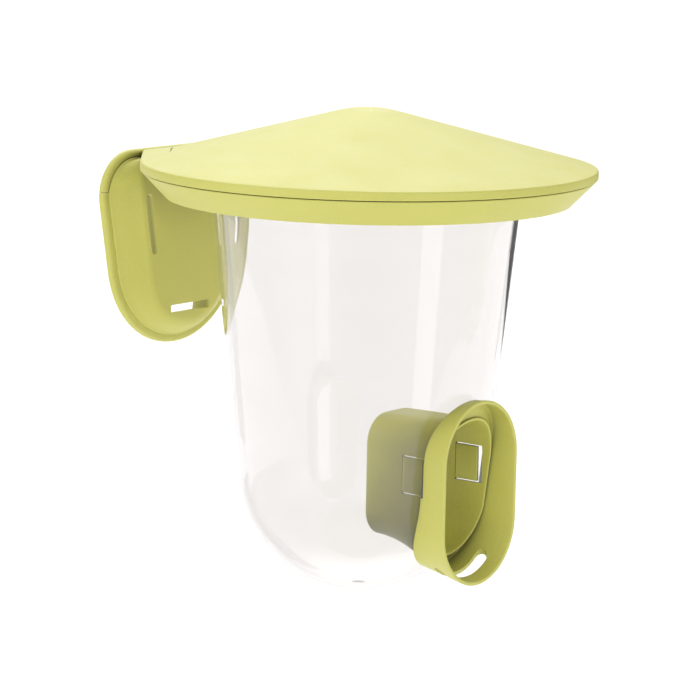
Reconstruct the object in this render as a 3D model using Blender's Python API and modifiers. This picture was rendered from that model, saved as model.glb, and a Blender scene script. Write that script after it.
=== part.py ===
"""Wall-hung gravity poultry feeder with a clear hopper, a lift-off conical roof and one feeding port.

Frame: x = 0 is the plane of symmetry, the wall is the plane y = 0 and the feeder stands in front of it
at negative y. z = 0 is the middle of the bracket's flange at its lowest point. Metres, +Z up.
"""

import math

import bmesh
import bpy
from mathutils import Vector

MM = 0.001
GAP = 0.3 * MM  # clearance between neighbouring pieces

# Hopper: a turned tub that tapers 5.6 degrees a side down to a round bottom.
HOPPER_AXIS_Y = -170 * MM
HOPPER_WALL = 2.5 * MM
HOPPER_RADIUS_AT_ZERO = 90.05 * MM
HOPPER_TAPER = 0.098
BALL_RADIUS = 83.07 * MM
BALL_Z = -67.1 * MM
RIM_RADIUS = 107 * MM
RIM_THICKNESS = 2.5 * MM

# Collar: the saucer that carries the hopper's rim.
COLLAR_BOTTOM = 112.3 * MM
COLLAR_TOP = 128.9 * MM
COLLAR_LOW_RADIUS = 132.7 * MM
COLLAR_TOP_RADIUS = 148.6 * MM
COLLAR_HOLE_RADIUS = 102.6 * MM
COLLAR_WALL = 2.6 * MM
UPSTAND_TOP = 118.5 * MM
ARM_HALF_WIDTH = 27 * MM
HOOK_X = (10 * MM, 24 * MM)
HOOK_BAR_TOP = 116.1 * MM
HOOK_LIP_BOTTOM = 107.6 * MM
HOOK_THICKNESS = 2.7 * MM

# Roof: a shallow cone over a plan that is a circle drawn out to the wall at the rear.
ROOF_RADIUS = 149.4 * MM
ROOF_FORWARD = 1.7 * MM  # how far the roof and the skirt under it sit forward of the hopper's axis
ROOF_BAND_BOTTOM = 129.3 * MM
ROOF_RIM_Z = 135 * MM
ROOF_CONE_TIP_Z = 174.5 * MM
ROOF_TIP_BLEND = 22 * MM
ROOF_REAR_DROP = 0.14  # slope of the flatter part between the cone and the wall
BREAK_SHARE = 0.97  # the ring where that part begins
ROOF_WALL = 2.6 * MM
ROOF_CORNER = (29 * MM, 161.7 * MM, 8 * MM)
LOCATING_RING = (137.2 * MM, 139.6 * MM)
LOCATING_RING_BOTTOM = 125.5 * MM

# Bracket: outline circles as (x, z, radius), of the flange at the wall and of the front plate.
FLANGE_LOW_CIRCLE = (0, 62.5 * MM, 66.5 * MM)
FLANGE_CORNER = (44.5 * MM, 103 * MM, 30 * MM)
PLATE_LOW_CIRCLE = (0, 50.7 * MM, 38 * MM)
PLATE_CORNER = (33 * MM, 110 * MM, 15 * MM)
FLANGE_WIDTH = 5 * MM
FLANGE_THICKNESS = 4 * MM
BRACKET_WALL = 2.6 * MM
PLATE_FRONT_Y = -16.5 * MM
SADDLE_END_Z = 106 * MM
SLOT_TOP, SLOT_BOTTOM, SLOT_RADIUS = (42.8 * MM, 101 * MM), (36.6 * MM, 65 * MM), 2.6 * MM
LOW_SLOT_HALF_WIDTH, LOW_SLOT_Z = 19.3 * MM, (19.9 * MM, 25.1 * MM)
WINDOW_Z = (112.2 * MM, 122 * MM)
RIB_X, RIB_THICKNESS = 20.3 * MM, 2.5 * MM  # the ribs stand this far out beside the bottom slot
RIB_TOP = 104 * MM
RIB_SPREAD = 0.13  # and lean outwards as they rise, as the side slots do

# Port. Distances forward are measured from the hopper's axis towards the front.
HOOD_FRONT = 99 * MM
HOOD_HALF_WIDTH = 39.3 * MM
HOOD_TOP, HOOD_BOTTOM = -9.4 * MM, -131 * MM
HOOD_SIDE_DRAFT, HOOD_TOP_DRAFT, HOOD_BOTTOM_DRAFT = 0.25, 0.1, 0.175
HOOD_WALL = 2.4 * MM
TUBE_INNER_END = 26 * MM
TUBE_HALF_WIDTH, TUBE_SIDE_DRAFT = 27.5 * MM, 0.073
TUBE_TOP, TUBE_TOP_DRAFT = -25 * MM, 0.055
TUBE_BOTTOM, TUBE_FLARE, TUBE_FLARE_END = -106.5 * MM, 8, 62 * MM
TUBE_CORNER = 18.5 * MM
TUBE_WALL = 2.2 * MM
SEAT_THICKNESS = 2.4 * MM
LIP_HEIGHT = 1.5 * MM
HOLE_CLEARANCE = 0.4 * MM
DRAIN_FORWARD, DRAIN_HALF_LENGTH, DRAIN_HALF_WIDTH = 84.7 * MM, 25.5 * MM, 4.4 * MM
TONGUE_ROOT, TONGUE_TIP = 57.3 * MM, 74.4 * MM
TONGUE_Z = (-70.5 * MM, -47 * MM)
TONGUE_SLIT = 0.9 * MM

RING_POINTS = 72
LATHE_STEPS = 72


def clear_scene():
    for obj in list(bpy.data.objects):
        bpy.data.objects.remove(obj, do_unlink=True)


def new_collection(name):
    collection = bpy.data.collections.new(name)
    bpy.context.scene.collection.children.link(collection)
    return collection


def plastic(name, color, roughness, alpha=1.0):
    material = bpy.data.materials.new(name)
    material.use_nodes = True
    shader = material.node_tree.nodes["Principled BSDF"]
    shader.inputs["Base Color"].default_value = (*color, 1)
    shader.inputs["Roughness"].default_value = roughness
    shader.inputs["Metallic"].default_value = 0
    shader.inputs["Alpha"].default_value = alpha
    return material


clear_scene()
PARTS = new_collection("gravity_poultry_feeder")
CUTTERS = new_collection("cutters")
GREEN = plastic("green_plastic", (0.55, 0.55, 0.17), 0.55)
CLEAR = plastic("clear_plastic", (0.9, 0.92, 0.92), 0.08, 0.3)


# ---- helpers -------------------------------------------------------------------------------------


def finish_object(obj, collection, material=None):
    collection.objects.link(obj)
    if collection is CUTTERS:
        obj.hide_render = True
        obj.display_type = "WIRE"
    if material:
        obj.data.materials.append(material)
        obj.data.shade_smooth()
        obj.data.set_sharp_from_angle(angle=math.radians(35))
    return obj


def outline(circles, inset=0.0, count=RING_POINTS):
    """Points round the tight belt over some circles (u, v, radius), one for each direction."""
    points = []
    for k in range(count):
        angle = 2 * math.pi * (k + 0.5) / count
        du, dv = math.cos(angle), math.sin(angle)
        u, v, r = max(circles, key=lambda c: c[0] * du + c[1] * dv + c[2])
        points.append((u + (r - inset) * du, v + (r - inset) * dv))
    return points


def loft(name, rings, collection, material=None, endless=False):
    """A closed body through rings with equally many points. It has a cap at each end, or is endless."""
    mesh = bmesh.new()
    rows = [[mesh.verts.new(point) for point in ring] for ring in rings]
    following_rows = rows[1:] + rows[:1] if endless else rows[1:]
    for first, second in zip(rows, following_rows):
        for k in range(len(first)):
            following = (k + 1) % len(first)
            mesh.faces.new((first[k], first[following], second[following], second[k]))
    if not endless:
        mesh.faces.new(rows[0][::-1])
        mesh.faces.new(rows[-1])
    bmesh.ops.recalc_face_normals(mesh, faces=mesh.faces)
    data = bpy.data.meshes.new(name)
    mesh.to_mesh(data)
    mesh.free()
    return finish_object(bpy.data.objects.new(name, data), collection, material)


def lathe(name, profile, collection, material=None):
    """A turned body about the hopper's axis. The profile (radius, z) runs down its outer side."""
    data = bpy.data.meshes.new(name)
    closed = profile[0][0] > 0
    edges = [(k, k + 1) for k in range(len(profile) - 1)]
    if closed:
        edges.append((len(profile) - 1, 0))
    data.from_pydata([(radius, 0, z) for radius, z in profile], edges, [])
    obj = finish_object(bpy.data.objects.new(name, data), collection, material)
    obj.location.y = HOPPER_AXIS_Y
    screw = obj.modifiers.new("turn", "SCREW")
    screw.steps = screw.render_steps = LATHE_STEPS
    screw.use_merge_vertices = True
    screw.merge_threshold = 1e-5
    screw.use_smooth_shade = True
    return obj


def box(name, low, high, collection):
    data = bpy.data.meshes.new(name)
    mesh = bmesh.new()
    bmesh.ops.create_cube(mesh, size=1)
    low, high = Vector(low), Vector(high)
    for vert in mesh.verts:
        vert.co = Vector((low[i] + (vert.co[i] + 0.5) * (high[i] - low[i]) for i in range(3)))
    mesh.to_mesh(data)
    mesh.free()
    return finish_object(bpy.data.objects.new(name, data), collection)


def combine(obj, operation, *others):
    for other in others:
        modifier = obj.modifiers.new(f"{operation.lower()} {other.name}", "BOOLEAN")
        modifier.operation = operation
        modifier.object = other
        modifier.solver = "EXACT"
    return obj


def mirrored_spans(low, high):
    return (-high, -low), (low, high)


# ---- hopper --------------------------------------------------------------------------------------


def hopper_radius(z):
    return HOPPER_RADIUS_AT_ZERO + HOPPER_TAPER * z


def tub_profile(top, offset, steps=14):
    """The tub's outer side grown by offset, from z = top down to the lowest point on the axis."""
    taper_angle = math.atan(HOPPER_TAPER)
    spread = offset / math.cos(taper_angle)
    points = [(hopper_radius(top) + spread, top)]
    for k in range(steps + 1):
        angle = taper_angle + (math.pi / 2 - taper_angle) * k / steps
        radius = BALL_RADIUS + offset
        points.append((radius * math.cos(angle), BALL_Z - radius * math.sin(angle)))
    points[-1] = (0, points[-1][1])
    return points


def tub_solid(name, offset, top=60 * MM):
    return lathe(name, [(0, top)] + tub_profile(top, offset), CUTTERS)


def build_hopper(hole):
    rim_bottom = UPSTAND_TOP + GAP
    rim_top = rim_bottom + RIM_THICKNESS
    outer = [(RIM_RADIUS, rim_top), (RIM_RADIUS, rim_bottom)] + tub_profile(rim_bottom, 0)
    inner = tub_profile(rim_top, -HOPPER_WALL)[::-1]
    hopper = lathe("hopper", outer + inner, PARTS, CLEAR)
    return combine(hopper, "DIFFERENCE", hole)


# ---- collar --------------------------------------------------------------------------------------


def collar_ring(radius, z):
    """A ring of the collar. The upstand is about the hopper's axis, and the skirt about the roof's."""
    centre_y = HOPPER_AXIS_Y - (ROOF_FORWARD if radius > 120 * MM else 0)
    angles = [2 * math.pi * k / LATHE_STEPS for k in range(LATHE_STEPS)]
    return [(radius * math.cos(a), centre_y + radius * math.sin(a), z) for a in angles]


def build_collar():
    skirt_slope = (COLLAR_TOP_RADIUS - COLLAR_LOW_RADIUS) / (COLLAR_TOP - COLLAR_BOTTOM)
    skirt_width = COLLAR_WALL * math.hypot(1, skirt_slope)
    floor_top = COLLAR_BOTTOM + COLLAR_WALL
    profile = [
        (COLLAR_TOP_RADIUS, COLLAR_TOP),
        (COLLAR_LOW_RADIUS, COLLAR_BOTTOM),
        (COLLAR_HOLE_RADIUS, COLLAR_BOTTOM),
        (COLLAR_HOLE_RADIUS, UPSTAND_TOP),
        (COLLAR_HOLE_RADIUS + COLLAR_WALL, UPSTAND_TOP),
        (COLLAR_HOLE_RADIUS + COLLAR_WALL, floor_top),
        (COLLAR_LOW_RADIUS + COLLAR_WALL * skirt_slope - skirt_width, floor_top),
        (COLLAR_TOP_RADIUS - skirt_width, COLLAR_TOP),
    ]
    rings = [collar_ring(radius, z) for radius, z in profile]
    collar = loft("support_collar", rings, PARTS, GREEN, endless=True)
    plate_back = PLATE_FRONT_Y + BRACKET_WALL
    arm_top = WINDOW_Z[1] + 0.9 * MM
    arm_front = HOPPER_AXIS_Y + 128 * MM
    arm_back = PLATE_FRONT_Y - 0.4 * MM
    arm = box(
        "collar_arm",
        (-ARM_HALF_WIDTH, arm_front, COLLAR_BOTTOM + 0.2 * MM),
        (ARM_HALF_WIDTH, arm_back, arm_top),
        CUTTERS,
    )
    pieces = [arm]
    hook_back = plate_back + 0.5 * MM + HOOK_THICKNESS
    for low, high in mirrored_spans(*HOOK_X):
        bar = box(
            "hook_bar",
            (low, arm_back - 1 * MM, COLLAR_BOTTOM + GAP),
            (high, hook_back, HOOK_BAR_TOP),
            CUTTERS,
        )
        lip = box(
            "hook_lip",
            (low, hook_back - HOOK_THICKNESS, HOOK_LIP_BOTTOM),
            (high, hook_back, HOOK_BAR_TOP - 0.5 * MM),
            CUTTERS,
        )
        pieces += [bar, lip]
    return combine(collar, "UNION", *pieces)


# ---- bracket -------------------------------------------------------------------------------------


def both_corners(low_circle, corner):
    x, z, radius = corner
    return [low_circle, (x, z, radius), (-x, z, radius)]


FLANGE = both_corners(FLANGE_LOW_CIRCLE, FLANGE_CORNER)
PLATE = both_corners(PLATE_LOW_CIRCLE, PLATE_CORNER)


def upright_ring(circles, inset, y):
    return [(x, y, z) for x, z in outline(circles, inset)]


def upright_prism(name, circles, inset, y_low, y_high):
    return loft(name, [upright_ring(circles, inset, y) for y in (y_low, y_high)], CUTTERS)


def flange_bar(name):
    """The flange's outline as a solid, with the outer edge of its front rounded."""
    edge = ((0, 0), (0, 1.2), (1.1, 3.3), (2.6, 4))
    rings = [upright_ring(FLANGE, inset * MM, -depth * MM) for inset, depth in edge]
    return loft(name, rings, CUTTERS)


def build_bracket():
    rim_inset = FLANGE_WIDTH + GAP
    wall_inset = rim_inset + 2.8 * MM
    back = PLATE_FRONT_Y + BRACKET_WALL
    outside = [
        upright_ring(PLATE, 0.6 * MM, PLATE_FRONT_Y),
        upright_ring(PLATE, -1.2 * MM, PLATE_FRONT_Y + 0.6 * MM),
        upright_ring(PLATE, -3.4 * MM, PLATE_FRONT_Y + 1.9 * MM),
        upright_ring(FLANGE, rim_inset + 0.6 * MM, -FLANGE_THICKNESS - 0.8 * MM),
        upright_ring(FLANGE, rim_inset, -FLANGE_THICKNESS + 0.4 * MM),
        upright_ring(FLANGE, rim_inset, 0),
    ]
    inside = [
        upright_ring(FLANGE, wall_inset, 0),
        upright_ring(FLANGE, wall_inset, -FLANGE_THICKNESS + 1.2 * MM),
        upright_ring(PLATE, -1.4 * MM, back + 1.4 * MM),
        upright_ring(PLATE, 1.8 * MM, back),
    ]
    bracket = loft("wall_bracket", outside + inside, PARTS, GREEN)

    # The flange runs round the sides and bottom, and stops where the roof's saddle begins.
    flange = flange_bar("flange")
    flange_core = upright_prism("flange_core", FLANGE, rim_inset + 1.4 * MM, -20 * MM, 20 * MM)
    above_flange = box(
        "above_flange", (-90 * MM, -20 * MM, SADDLE_END_Z), (90 * MM, 20 * MM, 200 * MM), CUTTERS
    )
    combine(flange, "DIFFERENCE", flange_core, above_flange)

    ribs = []
    for side in (-1, 1):
        rings = []
        for z in (-20 * MM, RIB_TOP):
            near = RIB_X + RIB_SPREAD * (z - LOW_SLOT_Z[0])
            xs = (side * near, side * (near + RIB_THICKNESS))
            ys = (back - 0.3 * MM, 0)
            rings.append([(xs[0], ys[0], z), (xs[1], ys[0], z), (xs[1], ys[1], z), (xs[0], ys[1], z)])
        rib = loft("rib", rings, CUTTERS)
        room = loft(
            "rib_room",
            [
                upright_ring(PLATE, 1 * MM, back - 1 * MM),
                upright_ring(FLANGE, wall_inset - 1.4 * MM, -FLANGE_THICKNESS + 0.4 * MM),
                upright_ring(FLANGE, wall_inset - 1.4 * MM, 0.01 * MM),
            ],
            CUTTERS,
        )
        ribs.append(combine(rib, "INTERSECT", room))
    combine(bracket, "UNION", flange, *ribs)

    front, rear = PLATE_FRONT_Y - 5 * MM, PLATE_FRONT_Y + 6 * MM
    (top_x, top_z), (low_x, low_z) = SLOT_TOP, SLOT_BOTTOM
    cuts = []
    for side in (-1, 1):
        ends = [(side * top_x, top_z, SLOT_RADIUS), (side * low_x, low_z, SLOT_RADIUS)]
        cuts.append(upright_prism("side_slot", ends, 0, front, rear))
    corner = 0.8 * MM
    low_slot = [
        (side * (LOW_SLOT_HALF_WIDTH - corner), z, corner)
        for side in (-1, 1)
        for z in (LOW_SLOT_Z[0] + corner, LOW_SLOT_Z[1] - corner)
    ]
    cuts.append(upright_prism("low_slot", low_slot, 0, front, rear))
    play = 0.6 * MM
    for low, high in mirrored_spans(HOOK_X[0] - play, HOOK_X[1] + play):
        cuts.append(box("hook_window", (low, front, WINDOW_Z[0]), (high, rear, WINDOW_Z[1]), CUTTERS))
    return combine(bracket, "DIFFERENCE", *cuts)


# ---- roof ----------------------------------------------------------------------------------------


def roof_plan(inset):
    """Plan points relative to the hopper's axis: a circle drawn out to two corners at the wall."""
    x, y, radius = ROOF_CORNER
    circles = [(0, -ROOF_FORWARD, ROOF_RADIUS), (x, y, radius), (-x, y, radius)]
    return outline(circles, inset, 96)


def roof_height(plan_point, share):
    """Height of the roof's top at a share of the way from its axis to a point of the plan."""
    slope = (ROOF_CONE_TIP_Z - ROOF_RIM_Z) / ROOF_RADIUS
    distance = math.hypot(*plan_point) * share
    if distance > ROOF_RADIUS:
        return ROOF_RIM_Z - ROOF_REAR_DROP * (distance - ROOF_RADIUS)
    if distance > ROOF_TIP_BLEND:
        return ROOF_CONE_TIP_Z - slope * distance
    return ROOF_CONE_TIP_Z - slope * (ROOF_TIP_BLEND / 2 + distance**2 / (2 * ROOF_TIP_BLEND))


def roof_ring(inset, share, drop=0.0):
    ring = []
    for point in roof_plan(inset):
        reached = min(share, 1)
        if share == BREAK_SHARE:
            reached = min(share, 0.985 * ROOF_RADIUS / math.hypot(*point))
        z = max(roof_height(point, reached) - drop, ROOF_BAND_BOTTOM + 0.5 * MM)
        ring.append((point[0] * reached, HOPPER_AXIS_Y + point[1] * reached, z))
    return ring


def level_roof_ring(inset, z):
    return [(x, HOPPER_AXIS_Y + y, z) for x, y in roof_plan(inset)]


def build_roof():
    shares = (0.01, 0.04, 0.08, 0.12, 0.16, 0.3, 0.5, 0.75, BREAK_SHARE)
    rings = [roof_ring(0, share) for share in shares]
    rings += [roof_ring(1.6 * MM, 1), roof_ring(0.5 * MM, 1, 0.5 * MM), roof_ring(0, 1, 1.6 * MM)]
    rings += [level_roof_ring(0, ROOF_BAND_BOTTOM), level_roof_ring(ROOF_WALL, ROOF_BAND_BOTTOM)]
    drop = ROOF_WALL + 0.1 * MM
    rings += [roof_ring(ROOF_WALL, 1, drop)]
    rings += [roof_ring(ROOF_WALL, share, drop) for share in shares[::-1]]
    roof = loft("roof_lid", rings, PARTS, GREEN)

    ring_top = ROOF_RIM_Z + 1.2 * MM
    inner, outer = LOCATING_RING
    locating_ring = lathe(
        "locating_ring",
        [(outer, ring_top), (outer, LOCATING_RING_BOTTOM), (inner, LOCATING_RING_BOTTOM), (inner, ring_top)],
        CUTTERS,
    )
    locating_ring.location.y -= ROOF_FORWARD

    # The saddle continues the bracket's flange over its top, as far down as the widest point.
    saddle = flange_bar("saddle")
    saddle_core = upright_prism("saddle_core", FLANGE, FLANGE_WIDTH, -20 * MM, 20 * MM)
    below_saddle = box(
        "below_saddle", (-90 * MM, -20 * MM, -50 * MM), (90 * MM, 20 * MM, SADDLE_END_Z + GAP), CUTTERS
    )
    combine(saddle, "DIFFERENCE", saddle_core, below_saddle)
    return combine(roof, "UNION", locating_ring, saddle)


# ---- port ----------------------------------------------------------------------------------------


def forward_ring(circles, forward):
    return [(x, HOPPER_AXIS_Y - forward, z) for x, z in outline(circles, 0, 56)]


def hood_circles(forward, inset):
    back = HOOD_FRONT - forward
    half_width = HOOD_HALF_WIDTH - HOOD_SIDE_DRAFT * back
    top = HOOD_TOP - HOOD_TOP_DRAFT * back
    bottom = HOOD_BOTTOM + HOOD_BOTTOM_DRAFT * back
    return [(0, top - half_width, half_width - inset), (0, bottom + half_width, half_width - inset)]


def tube_circles(forward, growth=0.0):
    depth = forward - TUBE_INNER_END
    half_width = TUBE_HALF_WIDTH + TUBE_SIDE_DRAFT * depth
    top = TUBE_TOP + TUBE_TOP_DRAFT * depth
    flare = min(max(forward, TUBE_INNER_END), TUBE_FLARE_END) - TUBE_INNER_END
    bottom = TUBE_BOTTOM - TUBE_FLARE * flare**2
    bottom -= 0.01 * max(0, forward - TUBE_FLARE_END)
    blend = min(1, max(0, depth / (50 * MM)))
    corner = TUBE_CORNER + (half_width - 0.3 * MM - TUBE_CORNER) * blend
    return [
        (side * (half_width - corner), z, corner + growth)
        for side in (-1, 1)
        for z in (top - corner, bottom + corner)
    ]


TUBE_STATIONS = [forward * MM for forward in (26, 33, 40, 47, 52, 57, 62, 75, 99)]


def hole_loft(name):
    """The hopper's hole: wide enough for every section of the tube that is pulled out through it."""
    widest = [c for at in (26, 38, 50) for c in tube_circles(at * MM, HOLE_CLEARANCE)]
    rings = [
        forward_ring(tube_circles(forward, HOLE_CLEARANCE) + widest, forward)
        for forward in (45 * MM, 62 * MM, 99 * MM)
    ]
    return loft(name, rings, CUTTERS)


def tube_loft(name, growth, start=None, collection=None, material=None):
    stations = list(TUBE_STATIONS)
    if start is not None:
        stations = [start] + [station for station in stations[1:] if station > start]
    if growth < 0:
        stations = [stations[0] - 2 * MM] + stations[1:]
    rings = [forward_ring(tube_circles(forward, growth), forward) for forward in stations]
    return loft(name, rings, collection or CUTTERS, material)


def hood_loft(name, inset, front, collection=None, material=None):
    rings = [forward_ring(hood_circles(forward, inset), forward) for forward in (45 * MM, front)]
    return loft(name, rings, collection or CUTTERS, material)


def tongue_box(name, side, near, far, slit):
    """A box over the side wall of the tube, between two distances forward."""
    inner, outer = 20 * MM, 45 * MM
    xs = sorted((side * inner, side * outer))
    low = (xs[0], HOPPER_AXIS_Y - far, TONGUE_Z[0] - slit)
    high = (xs[1], HOPPER_AXIS_Y - near, TONGUE_Z[1] + slit)
    return box(name, low, high, CUTTERS)


def build_port():
    tub_surface = tub_solid("tub_surface", GAP)
    seat_surface = tub_solid("seat_surface", GAP + SEAT_THICKNESS)
    lip_surface = tub_solid("lip_surface", GAP + SEAT_THICKNESS + LIP_HEIGHT)

    hollow = hood_loft("hood_hollow", HOOD_WALL, HOOD_FRONT + 3 * MM)
    combine(hollow, "DIFFERENCE", seat_surface)
    tube = combine(tube_loft("tube", 0), "INTERSECT", lip_surface)
    bore = tube_loft("tube_bore", -TUBE_WALL)

    drain = loft(
        "drain_slot",
        [
            [
                (x, HOPPER_AXIS_Y - forward, z)
                for x, forward in outline(
                    [
                        (side * (DRAIN_HALF_LENGTH - DRAIN_HALF_WIDTH), DRAIN_FORWARD, DRAIN_HALF_WIDTH)
                        for side in (-1, 1)
                    ],
                    0,
                    24,
                )
            ]
            for z in (HOOD_BOTTOM - 10 * MM, HOOD_BOTTOM + 25 * MM)
        ],
        CUTTERS,
    )
    seat_window = [
        combine(
            tongue_box("tongue_window", side, TONGUE_ROOT - GAP, 95 * MM, TONGUE_SLIT),
            "INTERSECT",
            tub_surface,
        )
        for side in (-1, 1)
    ]

    port = hood_loft("port_insert", 0, HOOD_FRONT, PARTS, GREEN)
    combine(port, "DIFFERENCE", hollow, tub_surface)
    combine(port, "UNION", tube)
    return combine(port, "DIFFERENCE", bore, drain, *seat_window)


def build_tongue(name, side):
    """One snap tongue: the tube's side wall between two slits, free at its front end."""
    tongue = tube_loft(name, 0, None, PARTS, GREEN)
    bore = tube_loft(f"{name}_bore", -TUBE_WALL)
    block = tongue_box(f"{name}_block", side, TONGUE_ROOT, TONGUE_TIP, 0)
    combine(tongue, "DIFFERENCE", bore)
    return combine(tongue, "INTERSECT", block)


def main():
    build_hopper(hole_loft("port_hole"))
    build_collar()
    build_bracket()
    build_roof()
    build_port()
    build_tongue("port_tongue_left", -1)
    build_tongue("port_tongue_right", 1)


main()
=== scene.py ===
"""Looks of the wall-hung poultry feeder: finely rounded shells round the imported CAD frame, moulded green
plastic, clear hopper plastic, and a plain pale studio. Metres throughout, in the CAD's own frame."""

import math

import bmesh
import bpy
from mathutils import Matrix, Vector


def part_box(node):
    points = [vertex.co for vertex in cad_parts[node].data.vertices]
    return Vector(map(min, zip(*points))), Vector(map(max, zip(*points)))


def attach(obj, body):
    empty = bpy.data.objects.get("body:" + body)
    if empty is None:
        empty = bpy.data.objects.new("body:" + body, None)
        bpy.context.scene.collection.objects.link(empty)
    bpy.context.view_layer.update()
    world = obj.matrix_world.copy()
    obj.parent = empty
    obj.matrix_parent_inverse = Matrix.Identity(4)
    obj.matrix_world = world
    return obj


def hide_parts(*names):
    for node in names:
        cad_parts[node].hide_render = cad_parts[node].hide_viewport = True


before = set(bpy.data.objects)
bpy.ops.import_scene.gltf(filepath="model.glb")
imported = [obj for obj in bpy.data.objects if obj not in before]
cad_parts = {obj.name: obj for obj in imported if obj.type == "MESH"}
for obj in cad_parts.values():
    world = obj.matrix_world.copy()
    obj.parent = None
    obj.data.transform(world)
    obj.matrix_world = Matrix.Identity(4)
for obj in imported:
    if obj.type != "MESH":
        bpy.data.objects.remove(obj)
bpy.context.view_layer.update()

MM = 0.001
GAP = 0.3 * MM

# ---- sizes, some read from the CAD nodes and the rest given ----------------------------------------

HOPPER_LOW, HOPPER_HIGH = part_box("hopper")
_, COLLAR_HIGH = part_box("support_collar")
ROOF_LOW, ROOF_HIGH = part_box("roof_lid")
BRACKET_LOW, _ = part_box("wall_bracket")
PORT_LOW, PORT_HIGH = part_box("port_insert")
TONGUE_LOW, TONGUE_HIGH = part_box("port_tongue_right")

AXIS_Y = (HOPPER_LOW.y + HOPPER_HIGH.y) / 2
RIM_RADIUS = HOPPER_HIGH.x
RIM_THICKNESS = 2.5 * MM
HOPPER_WALL = 2.5 * MM
HOPPER_TAPER = 0.098
BALL_RADIUS = 83.07 * MM
BALL_Z = HOPPER_LOW.z + BALL_RADIUS
TAPER_ANGLE = math.atan(HOPPER_TAPER)
# The cone touches the ball where their slopes agree, so its radius at any height follows from the ball.
CONE_RADIUS_AT_BALL = BALL_RADIUS / math.cos(TAPER_ANGLE)

COLLAR_TOP = 128.9 * MM
COLLAR_BOTTOM = 112.3 * MM
COLLAR_TOP_RADIUS = COLLAR_HIGH.x
COLLAR_LOW_RADIUS = COLLAR_TOP_RADIUS - 15.9 * MM
COLLAR_HOLE_RADIUS = 102.6 * MM
COLLAR_WALL = 2.6 * MM
UPSTAND_TOP = HOPPER_HIGH.z - RIM_THICKNESS - GAP

ROOF_RADIUS = ROOF_HIGH.x
ROOF_FORWARD = 1.7 * MM  # how far the roof and the skirt sit forward of the hopper's axis
ROOF_WALL = 2.6 * MM
ROOF_BAND_BOTTOM = COLLAR_TOP + 0.4 * MM
ROOF_RIM_Z = ROOF_BAND_BOTTOM + 5.7 * MM
ROOF_CONE_TIP_Z = 174.5 * MM
ROOF_TIP_BLEND = 22 * MM
ROOF_REAR_DROP = 0.14  # slope of the flatter part between the cone and the wall
ROOF_CORNER = (29 * MM, 161.7 * MM, 8 * MM)  # (x, y, radius), from the hopper's axis
BREAK_SHARE = 0.97  # the ring where that part begins

# The bracket's circles are (x, z, radius).
FLANGE_LOW_CIRCLE = (0, 62.5 * MM, 66.5 * MM)
FLANGE_CORNER = (44.5 * MM, 103 * MM, 30 * MM)
PLATE_LOW_CIRCLE = (0, 50.7 * MM, 38 * MM)
PLATE_CORNER = (33 * MM, 110 * MM, 15 * MM)
FLANGE_WIDTH = 5 * MM
FLANGE_THICKNESS = 4 * MM
BRACKET_WALL = 2.6 * MM
PLATE_Y = BRACKET_LOW.y
SADDLE_END_Z = 106 * MM
RIB_X = 20.3 * MM
RIB_LOW_Z = 19.9 * MM
RIB_LEAN = 0.13

HOOD_FRONT = AXIS_Y - PORT_LOW.y
HOOD_HALF_WIDTH = PORT_HIGH.x
HOOD_TOP, HOOD_BOTTOM = PORT_HIGH.z, PORT_LOW.z
HOOD_WALL = 2.4 * MM
TUBE_INNER_END = AXIS_Y - PORT_HIGH.y
TUBE_WALL = 2.2 * MM
TUBE_CORNER = 18.5 * MM
TUBE_FLARE_END = 62 * MM
SEAT_THICKNESS = 2.4 * MM
HOLE_CLEARANCE = 0.4 * MM
TONGUE_ROOT = AXIS_Y - TONGUE_HIGH.y
TONGUE_TIP = AXIS_Y - TONGUE_LOW.y
TONGUE_Z = (TONGUE_LOW.z, TONGUE_HIGH.z)
TONGUE_SLIT = 0.9 * MM


# ---- mesh helpers ----------------------------------------------------------------------------------


def new_object(name, mesh, material=None, sharp=42):
    """Makes an object from a bmesh, smooth but for edges sharper than the given angle in degrees."""
    bmesh.ops.recalc_face_normals(mesh, faces=mesh.faces)
    data = bpy.data.meshes.new(name)
    mesh.to_mesh(data)
    mesh.free()
    data.shade_smooth()
    data.set_sharp_from_angle(angle=math.radians(sharp))
    obj = bpy.data.objects.new(name, data)
    bpy.context.scene.collection.objects.link(obj)
    if material:
        data.materials.append(material)
    return obj


def skin(name, rings, material=None, loop=False):
    """A surface through rings of equally many points. It closes on itself, or is capped at both ends."""
    mesh = bmesh.new()
    rows = [[mesh.verts.new(point) for point in ring] for ring in rings]
    pairs = list(zip(rows, rows[1:]))
    if loop:
        pairs.append((rows[-1], rows[0]))
    for first, second in pairs:
        for k in range(len(first)):
            following = (k + 1) % len(first)
            mesh.faces.new((first[k], first[following], second[following], second[k]))
    if not loop:
        mesh.faces.new(rows[0][::-1])
        mesh.faces.new(rows[-1])
    return new_object(name, mesh, material)


def turned(name, profile, material=None, steps=192):
    """A body of revolution about the hopper's axis. A profile with both ends on the axis closes there."""
    mesh = bmesh.new()
    rows = []
    for radius, z in profile:
        if radius < 1e-7:
            rows.append([mesh.verts.new((0, AXIS_Y, z))])
            continue
        row = []
        for k in range(steps):
            angle = 2 * math.pi * k / steps
            x, y = radius * math.cos(angle), AXIS_Y + radius * math.sin(angle)
            row.append(mesh.verts.new((x, y, z)))
        rows.append(row)
    pairs = list(zip(rows, rows[1:]))
    if len(rows[0]) > 1:
        pairs.append((rows[-1], rows[0]))
    for first, second in pairs:
        for k in range(steps):
            following = (k + 1) % steps
            corners = [
                first[k % len(first)],
                first[following % len(first)],
                second[following % len(second)],
                second[k % len(second)],
            ]
            mesh.faces.new(dict.fromkeys(corners))
    return new_object(name, mesh, material)


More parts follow.
